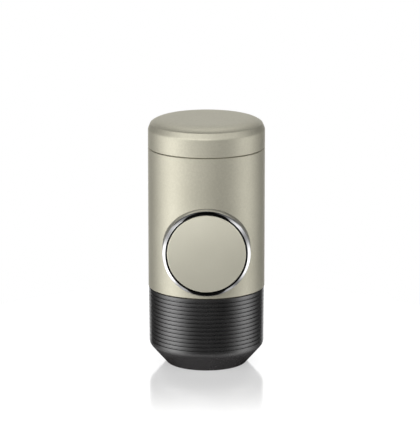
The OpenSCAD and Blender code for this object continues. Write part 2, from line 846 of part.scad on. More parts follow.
// Coil spring that pushes the knob out, one unbroken wire
module return_spring() {
    points = [for (i = [0:spring_rings - 1], k = [0:spring_sides - 1])
        let (a = i * 360 / spring_steps, b = k * 360 / spring_sides)
            spring_path[i] + wire_d / 2 * [cos(b) * cos(a), cos(b) * sin(a), sin(b)]];
    walls = [for (i = [0:spring_rings - 2], k = [0:spring_sides - 1], half = [0, 1])
        let (p = i * spring_sides + k, q = i * spring_sides + (k + 1) % spring_sides)
            half == 0 ? [p, q, q + spring_sides] : [p, q + spring_sides, p + spring_sides]];
    first = [for (k = [1:spring_sides - 2]) [0, k + 1, k]];
    last_i = (spring_rings - 1) * spring_sides;
    last = [for (k = [1:spring_sides - 2]) [last_i, last_i + k, last_i + k + 1]];
    color([0.7, 0.7, 0.72])
        to_front()
            translate([0, 0, spring_from])
                polyhedron(points = points, faces = concat(walls, first, last));
}

// Rod from the piston to the knob, with a groove for its clip
module piston_rod() {
    clip_y = knob_back_y - clip_h;
    neck_r = rod_r - clip_h / 2;
    head_y = rod_head_y - rod_head_h;
    color([0.78, 0.79, 0.8])
        to_front()
            rotate_extrude()
                polygon([[0, -piston_back_y], [rod_r, -piston_back_y], [rod_r, clip_y], [neck_r, clip_y],
                         [neck_r, knob_back_y], [rod_r, knob_back_y], [rod_r, head_y],
                         [rod_head_r, head_y], [rod_head_r, rod_head_y], [0, rod_head_y]]);
}

module piston_head() {
    groove_r = piston_r - seal_depth;
    low = -seal_front_y - seal_w;
    color([0.9, 0.9, 0.88])
        to_front()
            rotate_extrude()
                polygon([[rod_r, -piston_back_y], [piston_r, -piston_back_y], [piston_r, low],
                         [groove_r, low], [groove_r, -seal_front_y], [piston_r, -seal_front_y],
                         [piston_r, -piston_front_y], [rod_r, -piston_front_y]]);
}

// Lip seal in the piston's groove
module piston_seal() {
    lip_r = bore_r - bearing_gap;
    groove_r = piston_r - seal_depth;
    low = -seal_front_y - seal_w;
    color([0.2, 0.2, 0.2])
        to_front()
            rotate_extrude()
                polygon([[groove_r, low], [lip_r - bearing_gap, low], [lip_r, low + seal_w / 2],
                         [lip_r - bearing_gap, -seal_front_y], [groove_r, -seal_front_y]]);
}

module rod_clip() {
    color([0.65, 0.65, 0.65])
        to_front()
            pipe(knob_back_y - clip_h, clip_h, clip_r, rod_r - clip_h / 2);
}

// Slightly domed metal plate on the knob
module knob_plate() {
    low = face_y - plate_h;
    color([0.78, 0.76, 0.68])
        to_front()
            rotate_extrude()
                polygon(concat([[0, low], [knob_r, low], [knob_r, face_y - plate_bevel]],
                               dome_points(knob_r - plate_bevel, face_y, dome_rise, 2)));
}

// Plastic knob body: a disc behind the plate and a sleeve that slides in the ring
module knob_sleeve() {
    window_len = pump_stroke + 2 * (pin_r + window_gap);
    head_y = rod_head_y - rod_head_h - bearing_gap;
    half_deg = asin((pin_r + window_gap) / pin_tip_r);
    color([0.12, 0.12, 0.12])
        difference() {
            to_front()
                rotate_extrude()
                    polygon([[rod_r + bearing_gap, knob_back_y], [sleeve_in_r, knob_back_y],
                             [sleeve_in_r, sleeve_back_y], [knob_r, sleeve_back_y],
                             [knob_r, face_y - plate_h], [rod_head_r + fit_gap, face_y - plate_h],
                             [rod_head_r + fit_gap, head_y], [rod_r + bearing_gap, head_y]]);
            to_front()
                translate([0, 0, window_in_y])
                    rotate([0, 0, -90 - half_deg - unlock_deg])
                        rotate_extrude(angle = unlock_deg + 2 * half_deg)
                            translate([sleeve_in_r - over, 0])
                                square([knob_r - sleeve_in_r + 2 * over, window_len]);
        }
}

// Ribbed water tank with its flat foot
module water_tank() {
    wall_low = [wall_r(cone_h), cone_h];
    foot = [foot_r, 0];
    inner_foot_r = foot_r - tank_floor / 2;
    inner_cone_z = cone_h + tank_floor;
    color([0.12, 0.12, 0.12])
        rotate_extrude()
            polygon(concat([[0, 0]],
                           corner([0, 0], foot, wall_low, foot_round),
                           corner(foot, wall_low, [tank_r, tank_top_z], cone_round),
                           groove_points(),
                           [[wall_r(tank_top_z - edge_break), tank_top_z - edge_break],
                            [tank_r - edge_break, tank_top_z],
                            [tank_in_r, tank_top_z], [tank_in_r, inner_cone_z],
                            [inner_foot_r, tank_floor], [0, tank_floor]]));
}

module cap_shell() {
    low = [body_r, cap_low_z];
    side = [body_r, cap_side_z];
    crown_r = body_r - cap_chamfer_w;
    ceiling_r = shell_in_r - cap_chamfer_w - cap_dome_h;
    color([0.74, 0.72, 0.64])
        rotate_extrude()
            polygon(concat([[shell_in_r, cap_low_z], low - [edge_break, 0], low + [0, edge_break]],
                           corner(low, side, [crown_r, cap_crown_z], cap_side_round),
                           dome_points(crown_r, cap_crown_z, cap_dome_h, cap_dome_power),
                           [[0, cap_ceiling_z], [ceiling_r, cap_ceiling_z], [shell_in_r, cap_side_z]]));
}

// Plastic sleeve inside the cap that reaches down round the head collar
module cap_liner() {
    low_r = shell_in_r - run_gap;
    high_r = shell_in_r - fit_gap;
    color([0.15, 0.15, 0.15])
        rotate_extrude()
            polygon([[liner_in_r, liner_low_z], [low_r, liner_low_z], [low_r, cap_seal_z],
                     [low_r - cap_seal_depth, cap_seal_z], [low_r - cap_seal_depth, cap_seal_z + cap_seal_h],
                     [low_r, cap_seal_z + cap_seal_h], [low_r, cap_low_z], [high_r, cap_low_z],
                     [high_r, cap_side_z - run_gap], [liner_in_r, liner_top_z - run_gap]]);
}

module cap_seal() {
    color([0.3, 0.3, 0.3])
        pipe(cap_seal_z, cap_seal_h, shell_in_r - fit_gap, shell_in_r - run_gap - cap_seal_depth);
}

// Cup that holds the capsule with its rim up
module capsule_holder() {
    flange_z = holder_top_z - holder_flange_h;
    color([0.8, 0.8, 0.8])
        rotate_extrude()
            polygon([[holder_hole_r, holder_low_z], [holder_r, holder_low_z],
                     [holder_r, flange_z], [holder_flange_r, flange_z],
                     [holder_flange_r, holder_top_z], [rim_seat_r, holder_top_z], [rim_seat_r, chamber_top_z],
                     [chamber_top_r, chamber_top_z], [chamber_low_r, holder_low_z + holder_floor],
                     [holder_hole_r, holder_low_z + holder_floor]]);
}

// Screw-on head over the capsule, with a funnel inside that leads to the nozzle
module outlet_head() {
    funnel_z = outlet_low_z + outlet_plate_h;
    boss_z = outlet_top_z + outlet_rise;
    seat_z = outlet_top_z - outlet_rise;
    color([0.15, 0.15, 0.16])
        difference() {
            rotate_extrude()
                polygon([[outlet_in_r, outlet_low_z], [outlet_r, outlet_low_z], [outlet_r, outlet_rim_z],
                         [head_out_r, outlet_rim_z], [head_out_r, outlet_top_z],
                         [nozzle_r + outlet_wall, boss_z], [nozzle_r, boss_z],
                         [nozzle_r, seat_z], [nozzle_bore_r, seat_z],
                         [outlet_in_r - outlet_wall, funnel_z], [outlet_in_r, funnel_z]]);
            ring_groove(head_ring_z, outlet_r, head_ring_d, head_ring_groove);
            for (i = [0:notch_count - 1])
                rotate([0, 0, i * 360 / notch_count])
                    translate([head_out_r, 0, outlet_rim_z - over])
                        cylinder(h = outlet_rim_h + 2 * over, r = notch_r, $fn = small_fn);
        }
}

// Perforated steel plate that opens the capsule's foil
module outlet_plate() {
    color([0.75, 0.76, 0.77])
        translate([0, 0, outlet_low_z])
            difference() {
                cylinder(h = outlet_plate_h, r = outlet_in_r - fit_gap);
                for (ring = [1:3], i = [0:6 * ring - 1])
                    rotate([0, 0, i * 60 / ring])
                        translate([ring * drip_ring, 0, -over])
                            cylinder(h = outlet_plate_h + 2 * over, r = drip_hole_r, $fn = small_fn);
            }
}

module outlet_nozzle() {
    low = outlet_top_z - outlet_rise;
    out_r = nozzle_r - fit_gap;
    color([0.85, 0.85, 0.86])
        rotate_extrude($fn = small_fn)
            polygon([[nozzle_bore_r, low], [out_r, low], [out_r, nozzle_top_z - edge_break],
                     [out_r - edge_break, nozzle_top_z], [nozzle_bore_r, nozzle_top_z]]);
}

module head_o_ring() {
    color([0.7, 0.3, 0.22])
        seal_ring(head_ring_z, head_in_r - fit_gap, head_ring_d);
}

body_shell();
bezel_ring();
inner_frame();
pump_bulkhead();
pump_cylinder();
cylinder_screws();
face_seal();
valve_block();
intake_valve();
delivery_valve();
intake_tube();
intake_strainer();
delivery_tube();
tank_collar();
tank_o_ring();
air_valve();
collar_screws();
head_collar();
deck_screws();
injector_plate();
piercing_needles();
chamber_gasket();
stop_pin();
return_spring();
piston_rod();
piston_head();
piston_seal();
rod_clip();
knob_plate();
knob_sleeve();
water_tank();
cap_shell();
cap_liner();
cap_seal();
capsule_holder();
outlet_head();
outlet_plate();
outlet_nozzle();
head_o_ring();
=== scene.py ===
import bpy
import bmesh
import json
import math
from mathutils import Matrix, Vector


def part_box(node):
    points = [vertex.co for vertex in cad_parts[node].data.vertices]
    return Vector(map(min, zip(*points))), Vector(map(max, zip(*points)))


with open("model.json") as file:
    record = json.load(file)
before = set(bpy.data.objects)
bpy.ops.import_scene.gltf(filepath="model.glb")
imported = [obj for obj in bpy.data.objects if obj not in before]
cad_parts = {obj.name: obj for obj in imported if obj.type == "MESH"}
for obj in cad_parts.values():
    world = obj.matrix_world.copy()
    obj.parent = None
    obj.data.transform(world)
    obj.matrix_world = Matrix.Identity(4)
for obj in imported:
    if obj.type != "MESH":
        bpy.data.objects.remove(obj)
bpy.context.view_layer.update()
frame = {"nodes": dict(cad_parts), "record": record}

MM = 0.001

# ---------------------------------------------------------------- camera
CAM_DIST = 1.59435  # in front of the object's axis, in metres
CAM_HEIGHT = 0.4498  # above the table, in metres
CAM_PITCH = 0.2286  # downwards, in radians
CAM_YAW = 0.00114  # to the right, in radians
FOCAL_PX = 3176.6  # focal length in pixels of the picture
PICTURE_H = 425.0  # height of the picture in pixels
SENSOR = 36.0  # height of the sensor in millimetres

cam_data = bpy.data.cameras.new("camera")
cam_data.sensor_width = SENSOR
cam_data.sensor_fit = "VERTICAL"
cam_data.sensor_height = SENSOR
cam_data.lens = FOCAL_PX / PICTURE_H * SENSOR
cam_data.clip_start = 0.05
cam_data.clip_end = 20.0
cam = bpy.data.objects.new("camera", cam_data)
bpy.context.collection.objects.link(cam)
cam.location = (0.0, -CAM_DIST, CAM_HEIGHT)
cam.rotation_euler = (math.pi / 2 - CAM_PITCH, 0.0, -CAM_YAW)
bpy.context.scene.camera = cam
bpy.context.scene.view_settings.view_transform = "Standard"


# ---------------------------------------------------------------- node helpers
class Nodes:
    """Short forms for building one node tree."""

    def __init__(self, tree, output):
        self.tree = tree
        tree.nodes.clear()
        self.output = self.add(output).inputs[0]

    def add(self, kind, **settings):
        n = self.tree.nodes.new(kind)
        for k, v in settings.items():
            setattr(n, k, v)
        return n

    def link(self, a, b):
        self.tree.links.new(a, b)

    def put(self, socket, value):
        """Link another node's output to the socket, or set it to a plain value."""
        if hasattr(value, "is_linked"):
            self.link(value, socket)
        else:
            socket.default_value = value

    def math(self, op, a, b=0.0):
        n = self.add("ShaderNodeMath", operation=op)
        self.put(n.inputs[0], a)
        self.put(n.inputs[1], b)
        return n.outputs[0]

    def plus(self, a, b):
        return self.math("ADD", a, b)

    def minus(self, a, b):
        return self.math("SUBTRACT", a, b)

    def times(self, a, b):
        return self.math("MULTIPLY", a, b)

    def ramp(self, value, a, b, lo=0.0, hi=1.0, smooth=True):
        """From lo at a to hi at b."""
        n = self.add("ShaderNodeMapRange", interpolation_type="SMOOTHSTEP" if smooth else "LINEAR")
        for i, v in enumerate((value, a, b, lo, hi)):
            self.put(n.inputs[i], v)
        return n.outputs[0]

    def split(self, vector):
        n = self.add("ShaderNodeSeparateXYZ")
        self.link(vector, n.inputs[0])
        return n.outputs

    def join(self, *parts):
        n = self.add("ShaderNodeCombineXYZ")
        for socket, v in zip(n.inputs, parts):
            self.link(v, socket)
        return n.outputs[0]

    def from_origin(self, position, scale):
        """Distance from the origin, after each axis is scaled."""
        flat = self.add("ShaderNodeVectorMath", operation="MULTIPLY")
        self.link(position, flat.inputs[0])
        flat.inputs[1].default_value = scale
        length = self.add("ShaderNodeVectorMath", operation="LENGTH")
        self.link(flat.outputs[0], length.inputs[0])
        return length.outputs["Value"]

    def from_axis(self, coord, axis_z=None):
        """Distance from the upright axis, or from the pump's axis where axis_z gives its height."""
        sides = self.split(coord)
        other = sides["Y"] if axis_z is None else self.minus(sides["Z"], axis_z)
        squares = [self.math("POWER", self.math("ABSOLUTE", v), 2.0) for v in (sides["X"], other)]
        return self.math("SQRT", self.plus(*squares))

    def noise(self, coord, scale, detail=3.0, rough=0.55, dist=0.0, stretch=None):
        """Noise with scale waves to the metre, finer along the axes that stretch raises."""
        if stretch is not None:
            m = self.add("ShaderNodeMapping")
            m.inputs["Scale"].default_value = stretch
            self.link(coord, m.inputs["Vector"])
            coord = m.outputs[0]
        n = self.add("ShaderNodeTexNoise")
        n.inputs["Scale"].default_value = scale
        n.inputs["Detail"].default_value = detail
        n.inputs["Roughness"].default_value = rough
        n.inputs["Distortion"].default_value = dist
        self.link(coord, n.inputs["Vector"])
        return n.outputs["Fac"]

    def mix_colour(self, fac, a, b):
        """From a to b, by the Mix node's sockets for colours: 6 and 7 in, 2 out."""
        n = self.add("ShaderNodeMix", data_type="RGBA")
        self.put(n.inputs[0], fac)
        for i, v in ((6, a), (7, b)):
            self.put(n.inputs[i], (*v, 1.0) if isinstance(v, tuple) else v)
        return n.outputs[2]

    def mix_vector(self, fac, a, b):
        """From a to b, by the Mix node's sockets for vectors: 4 and 5 in, 1 out."""
        n = self.add("ShaderNodeMix", data_type="VECTOR")
        for i, v in ((0, fac), (4, a), (5, b)):
            self.link(v, n.inputs[i])
        return n.outputs[1]

    def mix_shader(self, fac, a, b):
        n = self.add("ShaderNodeMixShader")
        for i, v in enumerate((fac, a, b)):
            self.link(v, n.inputs[i])
        return n.outputs[0]

    def bump(self, height, strength, distance, normal=None):
        n = self.add("ShaderNodeBump")
        n.inputs["Strength"].default_value = strength
        n.inputs["Distance"].default_value = distance
        self.link(height, n.inputs["Height"])
        if normal is not None:
            self.link(normal, n.inputs["Normal"])
        return n.outputs[0]

    def surface(self):
        """Outputs that say where the shaded point is and which way it faces."""
        return self.add("ShaderNodeNewGeometry").outputs


def new_material(name):
    """The material, its nodes, its principled shader and the object's own coordinates."""
    m = bpy.data.materials.new(name)
    m.use_nodes = True
    t = Nodes(m.node_tree, "ShaderNodeOutputMaterial")
    bsdf = t.add("ShaderNodeBsdfPrincipled")
    t.link(bsdf.outputs[0], t.output)
    coord = t.add("ShaderNodeTexCoord").outputs["Object"]
    return m, t, bsdf, coord


def shaded(colour, share):
    """The colour at a share of its brightness."""
    return tuple(v * share for v in colour)


# ---------------------------------------------------------------- materials
SHADE_BLACK = (0.012, 0.012, 0.012)  # black painted shade at the plate's edge and in the gap round the knob
NOISE_MID = (0.3, 0.7)  # where most of a noise's values lie
SWIRLS = (0.35, 0.75)  # the same for the polishing swirls, towards their high side
RIM_HIGHLIGHT = (0.45 * MM, 0.38 * MM)  # how far inside its edge the painted highlight on a rim begins and is full
RIM_SHADE_EDGE = 0.03 * MM  # and how far it takes to end in black painted shade
FLAT_FADE = 1.1  # times flat_r, where the mesh's smooth normals are back


def satin_metal(name, dark, light, rough, grain=1.0, metal=1.0, grit=0.0,
                flat_r=0.0, axis_z=None, rim=None):
    """Bead-blasted and anodised metal: an even fine grain with slow drifts in tone.

    grit says how much the tone also varies over about a millimetre. Within flat_r of the axis,
    where a dome's mesh has one point, the faces' own normals are taken. rim is the radius where
    a painted highlight on the bevel ends in black painted shade on the edge's wall. The axis is
    the upright one, or the pump's where axis_z gives its height.
    """
    m, t, bsdf, co = new_material(name)
    fine = t.noise(co, scale=2600.0, detail=2.0, rough=0.6)
    mid = t.noise(co, scale=260.0, detail=4.0, rough=0.6)
    slow = t.noise(co, scale=28.0, rough=0.5)
    tone = t.plus(t.times(fine, 0.35), t.times(slow, 0.65))
    if grit:
        coarse = t.noise(co, scale=900.0, rough=0.65)
        tone = t.plus(tone, t.times(t.minus(coarse, 0.5), grit))
    colour = t.mix_colour(t.ramp(tone, *NOISE_MID), dark, light)
    normal = None
    if flat_r:
        off = t.ramp(t.from_axis(co, axis_z), flat_r, flat_r * FLAT_FADE)
        geo = t.surface()
        normal = t.mix_vector(off, geo["True Normal"], geo["Normal"])
    if rim is not None:
        # Painted highlight on the bevel just inside the rim, then black painted shade on the edge
        # wall
        away = t.from_axis(co, axis_z)
        highlight_colour = tuple(min(1.0, v) for v in shaded(light, 1.2))
        rim_highlight = t.ramp(away, rim - RIM_HIGHLIGHT[0], rim - RIM_HIGHLIGHT[1])
        colour = t.mix_colour(rim_highlight, colour, highlight_colour)
        colour = t.mix_colour(t.ramp(away, rim, rim + RIM_SHADE_EDGE), colour, SHADE_BLACK)
    t.link(colour, bsdf.inputs["Base Color"])
    varied = t.plus(t.times(mid, 0.07), t.times(fine, 0.05))
    t.link(t.plus(varied, rough - 0.06), bsdf.inputs["Roughness"])
    bsdf.inputs["Metallic"].default_value = metal
    grained = t.bump(fine, strength=0.22 * grain, distance=0.04 * MM, normal=normal)
    dented = t.bump(mid, strength=0.10 * grain, distance=0.06 * MM, normal=grained)
    t.link(dented, bsdf.inputs["Normal"])
    return m


def polished_base(name, colour):
    """What both plated metals share: the material's parts, its two noises and its colour."""
    m, t, bsdf, co = new_material(name)
    slow = t.noise(co, scale=40.0, detail=4.0, rough=0.6, dist=0.4)
    fine = t.noise(co, scale=900.0, rough=0.6)
    shine = t.mix_colour(t.ramp(slow, 0.35, 0.65), shaded(colour, 0.9), colour)
    bsdf.inputs["Metallic"].default_value = 1.0
    return m, t, bsdf, co, slow, fine, shine


POLISH_BUMP = dict(strength=0.03, distance=0.02 * MM)


def polished_metal(name, colour):
    """Plated metal with faint polishing swirls."""
    m, t, bsdf, _, slow, fine, shine = polished_base(name, colour)
    t.link(shine, bsdf.inputs["Base Color"])
    t.link(t.ramp(slow, *SWIRLS, 0.045, 0.095), bsdf.inputs["Roughness"])
    t.link(t.bump(fine, **POLISH_BUMP), bsdf.inputs["Normal"])
    return m


BEVEL_TILT = math.radians(44.0)  # of the ring's bevel, away from straight ahead
LIP_TILT = math.radians(75.0)  # of the outer lip, where it meets the wall
LIP_W = 0.7 * MM  # width of the rolled outer lip
EDGE = 0.1 * MM  # how far the ring's finishes take to change
WALL_DARK = (0.34, 0.34, 0.335)
WALL_LIGHT = (0.40, 0.40, 0.395)
TOP_SHADE_W = 0.6 * MM  # how much wider the black painted shade is at the top
FOOT_DARK_REFLECTION_W = 1.1 * MM  # and at the bottom, where it is a painted dark reflection
SHADE_EDGE = 0.04 * MM  # how far the painted black takes to end
# Heights round the ring, as shares of its radius: 1 is its top and -1 its bottom
TOP_SHADE_UP = (0.80, 0.92)
FOOT_DARK_REFLECTION_UP = (-0.96, -0.86)
LIP_UP = (0.60, 0.85)


def ring_metal(name, colour, pump_z, wall_r, wall_y, shade_r):
    """Polished ring with a darker satin wall behind wall_y and black painted shade inside the given
    radius.
    """
    m, t, bsdf, co, slow, fine, shine = polished_base(name, colour)
    place = t.split(co)
    away = t.from_axis(co, pump_z)
    up = t.math("DIVIDE", t.minus(place["Z"], pump_z), away)

    outside = t.ramp(away, wall_r - 2 * EDGE, wall_r - EDGE)
    wall = t.times(outside, t.ramp(place["Y"], wall_y, wall_y + 3 * EDGE))
    satin = t.mix_colour(fine, WALL_DARK, WALL_LIGHT)
    # Painted black: shade in the gap round the knob, wider at the top as painted shade and at the
    # bottom as a painted dark reflection, which sets the knob off
    top_shade = t.ramp(up, *TOP_SHADE_UP, 0.0, TOP_SHADE_W)
    wide = t.plus(top_shade, t.ramp(up, *FOOT_DARK_REFLECTION_UP, FOOT_DARK_REFLECTION_W, 0.0))
    gap_shade = t.ramp(t.minus(away, wide), shade_r, shade_r + SHADE_EDGE, 1.0, 0.0)
    t.link(t.mix_colour(gap_shade, t.mix_colour(wall, shine, satin), SHADE_BLACK), bsdf.inputs["Base Color"])
    t.link(t.plus(t.ramp(slow, *SWIRLS, 0.04, 0.08), t.times(wall, 0.36)), bsdf.inputs["Roughness"])

    # At the top the bevel rolls over to the wall at its outer lip
    turn = t.ramp(away, wall_r - LIP_W, wall_r, BEVEL_TILT, LIP_TILT, smooth=False)
    out = t.math("SINE", turn)
    rolled = t.join(
        t.times(t.math("DIVIDE", place["X"], away), out),
        t.times(t.math("COSINE", turn), -1.0),
        t.times(up, out),
    )
    lip = t.times(t.ramp(away, wall_r - LIP_W - EDGE, wall_r - LIP_W), t.ramp(up, *LIP_UP))
    front = t.ramp(place["Y"], wall_y - EDGE, wall_y, 1.0, 0.0)
    normal = t.mix_vector(t.times(lip, front), t.surface()["Normal"], rolled)
    t.link(t.bump(fine, **POLISH_BUMP, normal=normal), bsdf.inputs["Normal"])
    return m


def brushed_metal(name, colour, rough=0.3):
    """Turned or brushed steel with lines across it."""
    m, t, bsdf, co = new_material(name)
    lines = t.noise(co, scale=420.0, detail=4.0, rough=0.65, stretch=(1.0, 1.0, 30.0))
    slow = t.noise(co, scale=60.0, rough=0.5)
    striped = t.mix_colour(t.ramp(lines, *NOISE_MID), shaded(colour, 0.78), colour)
    t.link(striped, bsdf.inputs["Base Color"])
    bsdf.inputs["Metallic"].default_value = 1.0
    lined = t.ramp(lines, *NOISE_MID, rough - 0.07, rough + 0.07)
    t.link(t.plus(lined, t.times(slow, 0.05)), bsdf.inputs["Roughness"])
    t.link(t.bump(lines, strength=0.15, distance=0.04 * MM), bsdf.inputs["Normal"])
    return m


class Cone:
    """The duller cone under the tank's wall, which the wall rolls over into, lighter by a painted
    reflection.
    """

    TOP = 12.3 * MM  # where the roll starts, under the lowest groove
    TILT = math.radians(42.2)  # of the cone's face, below level
    ROLL_H = 6.0 * MM  # height of the roll
    FADE_H = 4.0 * MM  # height over which the wall's colour turns into the cone's
    MATT_H = 2.0 * MM  # height over which the matt finish comes in
    MATT_FACING = (0.45, 0.85)  # how far sideways it is seen where that begins and is full
    MATT_SHARE = 0.85  # of the matt finish where it is full
    TOP_EDGE = 0.1 * MM  # how far above TOP the wall's own normals are back
    INNER_R = 20.0 * MM  # the cone's outer face lies outside this radius
    FOOT_TOP = (0.9 * MM, 1.3 * MM)  # over these heights the foot's rounding gives way to the cone
    # a grey lighter than the black plastic: a painted reflection of the floor's light in the cone
    PAINTED_GREY = (0.045, 0.042, 0.043)

    def __init__(self, t, coord):
        self.t = t
        self.coord = coord
        self.place = t.split(coord)

    def below(self, height):
        return self.t.ramp(self.place["Z"], self.TOP - height, self.TOP, 1.0, 0.0)

    def colour(self, wall):
        return self.t.mix_colour(self.below(self.FADE_H), wall, self.PAINTED_GREY)

    def normal(self):
        """The shading normal: level at the top, tilted down at the roll's foot."""
        t, place = self.t, self.place
        away = t.from_axis(self.coord)
        turn = t.ramp(place["Z"], self.TOP - self.ROLL_H, self.TOP, self.TILT, 0.0)
        level = t.math("COSINE", turn)
        rolled = t.join(
            t.times(t.math("DIVIDE", place["X"], away), level),
            t.times(t.math("DIVIDE", place["Y"], away), level),
            t.times(t.math("SINE", turn), -1.0),
        )
        above_foot = t.ramp(place["Z"], *self.FOOT_TOP)
        under_wall = t.ramp(place["Z"], self.TOP, self.TOP + self.TOP_EDGE, 1.0, 0.0)
        outside = t.math("GREATER_THAN", away, self.INNER_R)
        where = t.times(t.times(above_foot, under_wall), outside)
        return t.mix_vector(where, t.surface()["Normal"], rolled)

    def finish(self, shader):
        """The shader, made matt where the cone is seen from the side."""
        t = self.t
        matt = t.add("ShaderNodeBsdfDiffuse")
        matt.inputs["Color"].default_value = (*self.PAINTED_GREY, 1.0)
        slant = t.add("ShaderNodeLayerWeight")
        slant.inputs["Blend"].default_value = 0.5
        sideways = t.ramp(slant.outputs["Facing"], *self.MATT_FACING, 0.0, self.MATT_SHARE)
        return t.mix_shader(t.times(sideways, self.below(self.MATT_H)), shader, matt.outputs[0])


WEAR = (0.52, 0.60)  # pointiness of the edges where wear begins and is full
WEAR_SHARE = 0.35  # of the worn colour on them


def plastic(name, dark, light, rough, grain=1.0, spec=0.5, ior=1.5, with_cone=False):
    """Moulded plastic with a fine spark-eroded grain and slightly worn convex edges."""
    m, t, bsdf, co = new_material(name)
    fine = t.noise(co, scale=1900.0, detail=2.0)
    slow = t.noise(co, scale=45.0, detail=4.0)
    wear = t.ramp(t.surface()["Pointiness"], *WEAR)
    worn = tuple(min(1.0, v + 0.01) for v in shaded(light, 1.6))
    colour = t.mix_colour(t.ramp(slow, *NOISE_MID), dark, light)
    normal = None
    if with_cone:
        cone = Cone(t, co)
        colour = cone.colour(colour)
        normal = cone.normal()
        t.link(cone.finish(bsdf.outputs[0]), t.output)
    t.link(t.mix_colour(t.times(wear, WEAR_SHARE), colour, worn), bsdf.inputs["Base Color"])
    varied = t.plus(t.ramp(slow, *NOISE_MID, rough - 0.03, rough + 0.04), t.times(fine, 0.05))
    t.link(t.minus(varied, t.times(wear, 0.08)), bsdf.inputs["Roughness"])
    bsdf.inputs["Specular IOR Level"].default_value = spec
    bsdf.inputs["IOR"].default_value = ior
    grained = t.bump(fine, strength=0.18 * grain, distance=0.03 * MM, normal=normal)
    t.link(grained, bsdf.inputs["Normal"])
    return m


def silicone(name, dark, light, rough=0.5):
    """Soft moulded rubber with a dusty bloom."""
    m, t, bsdf, co = new_material(name)
    fine = t.noise(co, scale=1300.0, rough=0.6)
    slow = t.noise(co, scale=90.0, detail=4.0, rough=0.6)
    t.link(t.mix_colour(t.ramp(slow, *NOISE_MID), dark, light), bsdf.inputs["Base Color"])
    t.link(t.ramp(fine, 0.2, 0.8, rough - 0.05, rough + 0.1), bsdf.inputs["Roughness"])
    t.link(t.bump(fine, strength=0.15, distance=0.04 * MM), bsdf.inputs["Normal"])
    return m


PLATED = (0.86, 0.86, 0.87)
CHAMPAGNE = dict(
    dark=(0.60, 0.575, 0.465), light=(0.66, 0.635, 0.52), rough=0.49, metal=0.75, grit=0.8,
)
BLACK = dict(
    dark=(0.0036, 0.0032, 0.0033), light=(0.006, 0.0053, 0.0055), rough=0.22, grain=0.3,
    spec=0.9, ior=1.65,
)
SLOTS = {
    "champagne_metal": satin_metal("champagne_metal", **CHAMPAGNE),
    "bright_ring": polished_metal("bright_ring", PLATED),
    "black_plastic": plastic("black_plastic", **BLACK),
    "inner_plastic": plastic("inner_plastic", (0.022, 0.022, 0.023), (0.034, 0.034, 0.036), 0.45),
    "pump_steel": brushed_metal("pump_steel", (0.62, 0.62, 0.62)),
    "pale_plastic": plastic("pale_plastic", (0.66, 0.66, 0.63), (0.75, 0.75, 0.72), 0.3, 0.5),
    "holder_metal": satin_metal("holder_metal", (0.62, 0.62, 0.63), (0.72, 0.72, 0.73), 0.3),
    "red_silicone": silicone("red_silicone", (0.36, 0.05, 0.03), (0.46, 0.075, 0.045)),
    "grey_silicone": silicone("grey_silicone", (0.11, 0.11, 0.11), (0.17, 0.17, 0.17)),
}

PUMP_Z = (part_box("knob_plate")[0][2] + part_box("knob_plate")[1][2]) / 2
PLATE_R = (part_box("knob_plate")[1][2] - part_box("knob_plate")[0][2]) / 2
RING_R = (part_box("bezel_ring")[1][2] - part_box("bezel_ring")[0][2]) / 2
GAP_SHADE_W = 0.68 * MM  # width of the black painted shade in the gap round the knob's plate
RING_WALL_Y = -33.0 * MM  # front end of the ring's satin wall
PLATE_SHADE_W = 0.22 * MM  # width of the plate's edge wall, painted black as shade
PLATE_FLAT_R = 1.4 * MM  # the middle of the plate's dome, which has faces round one point
CAP_FLAT_R = 8.0 * MM  # and of the cap's
OWN = {
    "bezel_ring": ring_metal(
        "bezel_ring_metal", PLATED, pump_z=PUMP_Z, wall_r=RING_R, wall_y=RING_WALL_Y,
        shade_r=PLATE_R + GAP_SHADE_W,
    ),
    "knob_plate": satin_metal(
        "knob_plate_metal", dark=(0.71, 0.685, 0.56), light=(0.77, 0.745, 0.615), rough=0.42,
        grain=0.8, metal=0.45, flat_r=PLATE_FLAT_R, axis_z=PUMP_Z, rim=PLATE_R - PLATE_SHADE_W,
    ),
    "water_tank": plastic("tank_plastic", **BLACK, with_cone=True),
    "cap_shell": satin_metal("cap_metal", **CHAMPAGNE, flat_r=CAP_FLAT_R),
}

slot_of = {s["node"]: s["material_slot"] for s in frame["record"]["subparts"]}
for name, obj in frame["nodes"].items():
    mat = OWN.get(name, SLOTS[slot_of[name]])
    if not obj.material_slots:
        obj.data.materials.append(mat)
    for s in obj.material_slots:
        s.link = "OBJECT"
        s.material = mat

# ---------------------------------------------------------------- floor
FLOOR_R = 0.16
FLOOR_SIDES = 96
FLOOR_DROP = 0.1 * MM  # so that the floor and the tank's foot don't share a plane
FLOOR_ROUGH = 0.6
FLOOR_GLOW = 0.80  # light of its own, which the camera and the mirrors see as white
MIRROR_SHARE = 0.46  # of mirror in the floor close to the foot
MIRROR_ROUGH = 0.13  # and how blurred that is
MIRROR_REACH = (0.035, 0.140)  # between these distances from the axis the mirror fades out
SHADE_SHARE = 0.96  # of shade in what mirrors the floor under the cone
SHADE_REACH = (0.024, 0.050)  # between these stretched distances the shade fades out
SHADE_STRETCH = (1.15, 0.80, 0.0)  # the shade is narrower to the sides and longer to the front
CLEAR_REACH = (0.034, 0.060)  # between these the floor turns clear for what mirrors it
FLOOR_DARK = (0.88, 0.88, 0.88)
FLOOR_LIGHT = (0.90, 0.90, 0.90)
FLOOR_SHADED = (0.08, 0.08, 0.08)  # what the mirrors see of it in the shade
WHITE = (1.0, 1.0, 1.0, 1.0)


